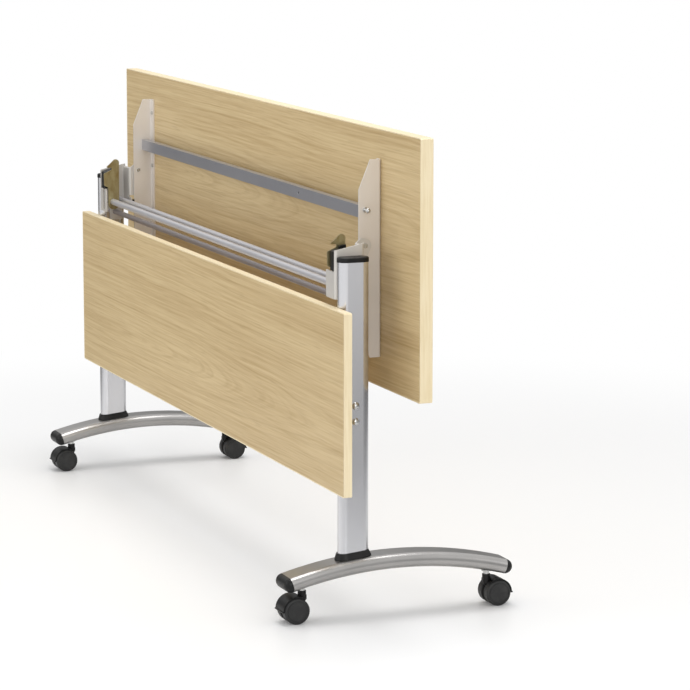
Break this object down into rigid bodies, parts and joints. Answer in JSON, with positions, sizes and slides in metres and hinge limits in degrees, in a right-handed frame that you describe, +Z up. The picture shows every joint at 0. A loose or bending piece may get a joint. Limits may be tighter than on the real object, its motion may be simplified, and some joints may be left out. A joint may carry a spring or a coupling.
{
  "type": "folding training desk on castors",
  "caption": "Flip-top training desk on castors, stored with its top folded upright, with a modesty panel, arched feet and hook latches joined by a release tube.",
  "frame": {"origin": "floor level, at the middle of the desk's length and midway between the front and rear castors", "axes": "+X along the worktop, to the right as seen from the modesty panel; +Y from the modesty panel towards the user's side, which the folded worktop's upper face looks to; +Z up"},
  "size_m": [1.8, 0.4698, 0.915],
  "materials": {
    "wood": "satin",
    "edge_band": "satin",
    "silver_paint": "satin",
    "arm_paint": "satin",
    "grey_bar": "satin",
    "zinc_yellow": "satin",
    "bright_steel": "bright",
    "dark_steel": "satin",
    "black_plastic": "matte",
    "wheel_plastic": "matte",
    "white_plastic": "matte",
    "black_rubber": "matte"
  },
  "bodies": {
    "frame": {"head_bracket_left": "silver_paint", "head_bracket_right": "silver_paint", "pivot_pins": "bright_steel", "latch_rest_left": "black_plastic", "latch_rest_right": "black_plastic", "latch_springs": "dark_steel", "rear_beam": "silver_paint", "lower_beam": "silver_paint", "fold_buffers": "black_rubber", "column_left": "silver_paint", "column_right": "silver_paint", "column_cap_left": "black_plastic", "column_cap_right": "black_plastic", "column_collar_left": "black_plastic", "column_collar_right": "black_plastic", "column_bolts": "bright_steel", "column_nuts": "bright_steel", "modesty_panel": "wood", "modesty_edge_band": "edge_band", "modesty_bracket_left": "silver_paint", "modesty_bracket_right": "silver_paint", "modesty_screws": "bright_steel", "foot_left": "silver_paint", "foot_right": "silver_paint", "foot_plugs": "black_plastic", "stem_sockets": "bright_steel", "foot_bolts": "dark_steel"},
    "top": {"worktop": "wood", "worktop_edge_band": "edge_band", "arm_left": "arm_paint", "arm_right": "arm_paint", "arm_screws": "bright_steel", "brace_bar": "grey_bar", "strikers": "bright_steel", "arm_bushes": "white_plastic"},
    "latch": {"latch_hook_left": "zinc_yellow", "latch_hook_right": "zinc_yellow", "release_tube": "silver_paint"},
    "castor_front_left_swivel": {"castor_front_left_stem": "bright_steel", "castor_front_left_hood": "black_plastic", "castor_front_left_axle": "bright_steel"},
    "castor_front_left_wheel_inner_body": {"castor_front_left_wheel_inner": "wheel_plastic"},
    "castor_front_left_wheel_outer_body": {"castor_front_left_wheel_outer": "wheel_plastic"},
    "castor_front_right_swivel": {"castor_front_right_stem": "bright_steel", "castor_front_right_hood": "black_plastic", "castor_front_right_axle": "bright_steel"},
    "castor_front_right_wheel_inner_body": {"castor_front_right_wheel_inner": "wheel_plastic"},
    "castor_front_right_wheel_outer_body": {"castor_front_right_wheel_outer": "wheel_plastic"},
    "castor_rear_left_swivel": {"castor_rear_left_stem": "bright_steel", "castor_rear_left_hood": "black_plastic", "castor_rear_left_axle": "bright_steel"},
    "castor_rear_left_wheel_inner_body": {"castor_rear_left_wheel_inner": "wheel_plastic"},
    "castor_rear_left_wheel_outer_body": {"castor_rear_left_wheel_outer": "wheel_plastic"},
    "castor_rear_right_swivel": {"castor_rear_right_stem": "bright_steel", "castor_rear_right_hood": "black_plastic", "castor_rear_right_axle": "bright_steel"},
    "castor_rear_right_wheel_inner_body": {"castor_rear_right_wheel_inner": "wheel_plastic"},
    "castor_rear_right_wheel_outer_body": {"castor_rear_right_wheel_outer": "wheel_plastic"}
  },
  "joints": [
    {"name": "top_flip", "type": "hinge", "parent": "frame", "child": "top", "pos_m": [0, -0.0395, 0.698], "axis": [1, 0, 0], "range_deg": [0, 90]},
    {"name": "latch_turn", "type": "hinge", "parent": "frame", "child": "latch", "pos_m": [0, -0.0965, 0.626], "axis": [1, 0, 0], "range_deg": [-7, 0]},
    {"name": "castor_front_left_swivel_turn", "type": "hinge", "parent": "frame", "child": "castor_front_left_swivel", "pos_m": [-0.769, -0.1885, 0.06], "axis": [0, 0, 1], "continuous": true},
    {"name": "castor_front_left_wheel_inner_roll", "type": "hinge", "parent": "castor_front_left_swivel", "child": "castor_front_left_wheel_inner_body", "pos_m": [-0.769, -0.2055, 0.025], "axis": [1, 0, 0], "continuous": true},
    {"name": "castor_front_left_wheel_outer_roll", "type": "hinge", "parent": "castor_front_left_swivel", "child": "castor_front_left_wheel_outer_body", "pos_m": [-0.769, -0.2055, 0.025], "axis": [1, 0, 0], "continuous": true},
    {"name": "castor_front_right_swivel_turn", "type": "hinge", "parent": "frame", "child": "castor_front_right_swivel", "pos_m": [0.769, -0.1885, 0.06], "axis": [0, 0, 1], "continuous": true},
    {"name": "castor_front_right_wheel_inner_roll", "type": "hinge", "parent": "castor_front_right_swivel", "child": "castor_front_right_wheel_inner_body", "pos_m": [0.769, -0.2055, 0.025], "axis": [1, 0, 0], "continuous": true},
    {"name": "castor_front_right_wheel_outer_roll", "type": "hinge", "parent": "castor_front_right_swivel", "child": "castor_front_right_wheel_outer_body", "pos_m": [0.769, -0.2055, 0.025], "axis": [1, 0, 0], "continuous": true},
    {"name": "castor_rear_left_swivel_turn", "type": "hinge", "parent": "frame", "child": "castor_rear_left_swivel", "pos_m": [-0.769, 0.1885, 0.06], "axis": [0, 0, 1], "continuous": true},
    {"name": "castor_rear_left_wheel_inner_roll", "type": "hinge", "parent": "castor_rear_left_swivel", "child": "castor_rear_left_wheel_inner_body", "pos_m": [-0.769, 0.2055, 0.025], "axis": [1, 0, 0], "continuous": true},
    {"name": "castor_rear_left_wheel_outer_roll", "type": "hinge", "parent": "castor_rear_left_swivel", "child": "castor_rear_left_wheel_outer_body", "pos_m": [-0.769, 0.2055, 0.025], "axis": [1, 0, 0], "continuous": true},
    {"name": "castor_rear_right_swivel_turn", "type": "hinge", "parent": "frame", "child": "castor_rear_right_swivel", "pos_m": [0.769, 0.1885, 0.06], "axis": [0, 0, 1], "continuous": true},
    {"name": "castor_rear_right_wheel_inner_roll", "type": "hinge", "parent": "castor_rear_right_swivel", "child": "castor_rear_right_wheel_inner_body", "pos_m": [0.769, 0.2055, 0.025], "axis": [1, 0, 0], "continuous": true},
    {"name": "castor_rear_right_wheel_outer_roll", "type": "hinge", "parent": "castor_rear_right_swivel", "child": "castor_rear_right_wheel_outer_body", "pos_m": [0.769, 0.2055, 0.025], "axis": [1, 0, 0], "continuous": true}
  ]
}
